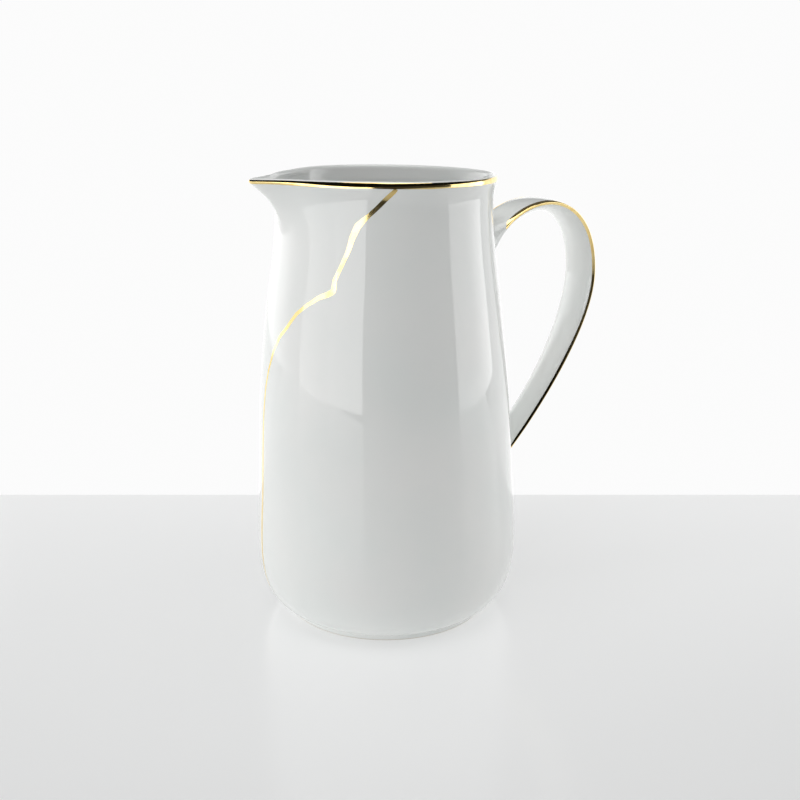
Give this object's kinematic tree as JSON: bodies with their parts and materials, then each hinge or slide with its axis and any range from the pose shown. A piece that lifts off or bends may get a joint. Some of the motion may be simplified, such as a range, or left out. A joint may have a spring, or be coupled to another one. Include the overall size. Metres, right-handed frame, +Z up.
{
  "type": "pitcher",
  "caption": "Tall round ceramic pitcher with a gently tapering hollow body, low foot ring, pulled spout and strap handle.",
  "frame": {"origin": "on the vessel's own axis, at the height of the table it stands on", "axes": "+Z up, -X towards the spout, +X towards the handle, +Y to the left as one looks from the spout to the handle"},
  "size_m": [0.1921, 0.132, 0.2199],
  "materials": {
    "glazed_porcelain": "clear glossy glaze on white porcelain, the foot ring left unglazed",
    "gold_lustre": "bright fired gold, painted on the rim, the handle's edges and one mended crack"
  },
  "bodies": {
    "root": {"pitcher": "glazed_porcelain"}
  },
  "joints": []
}
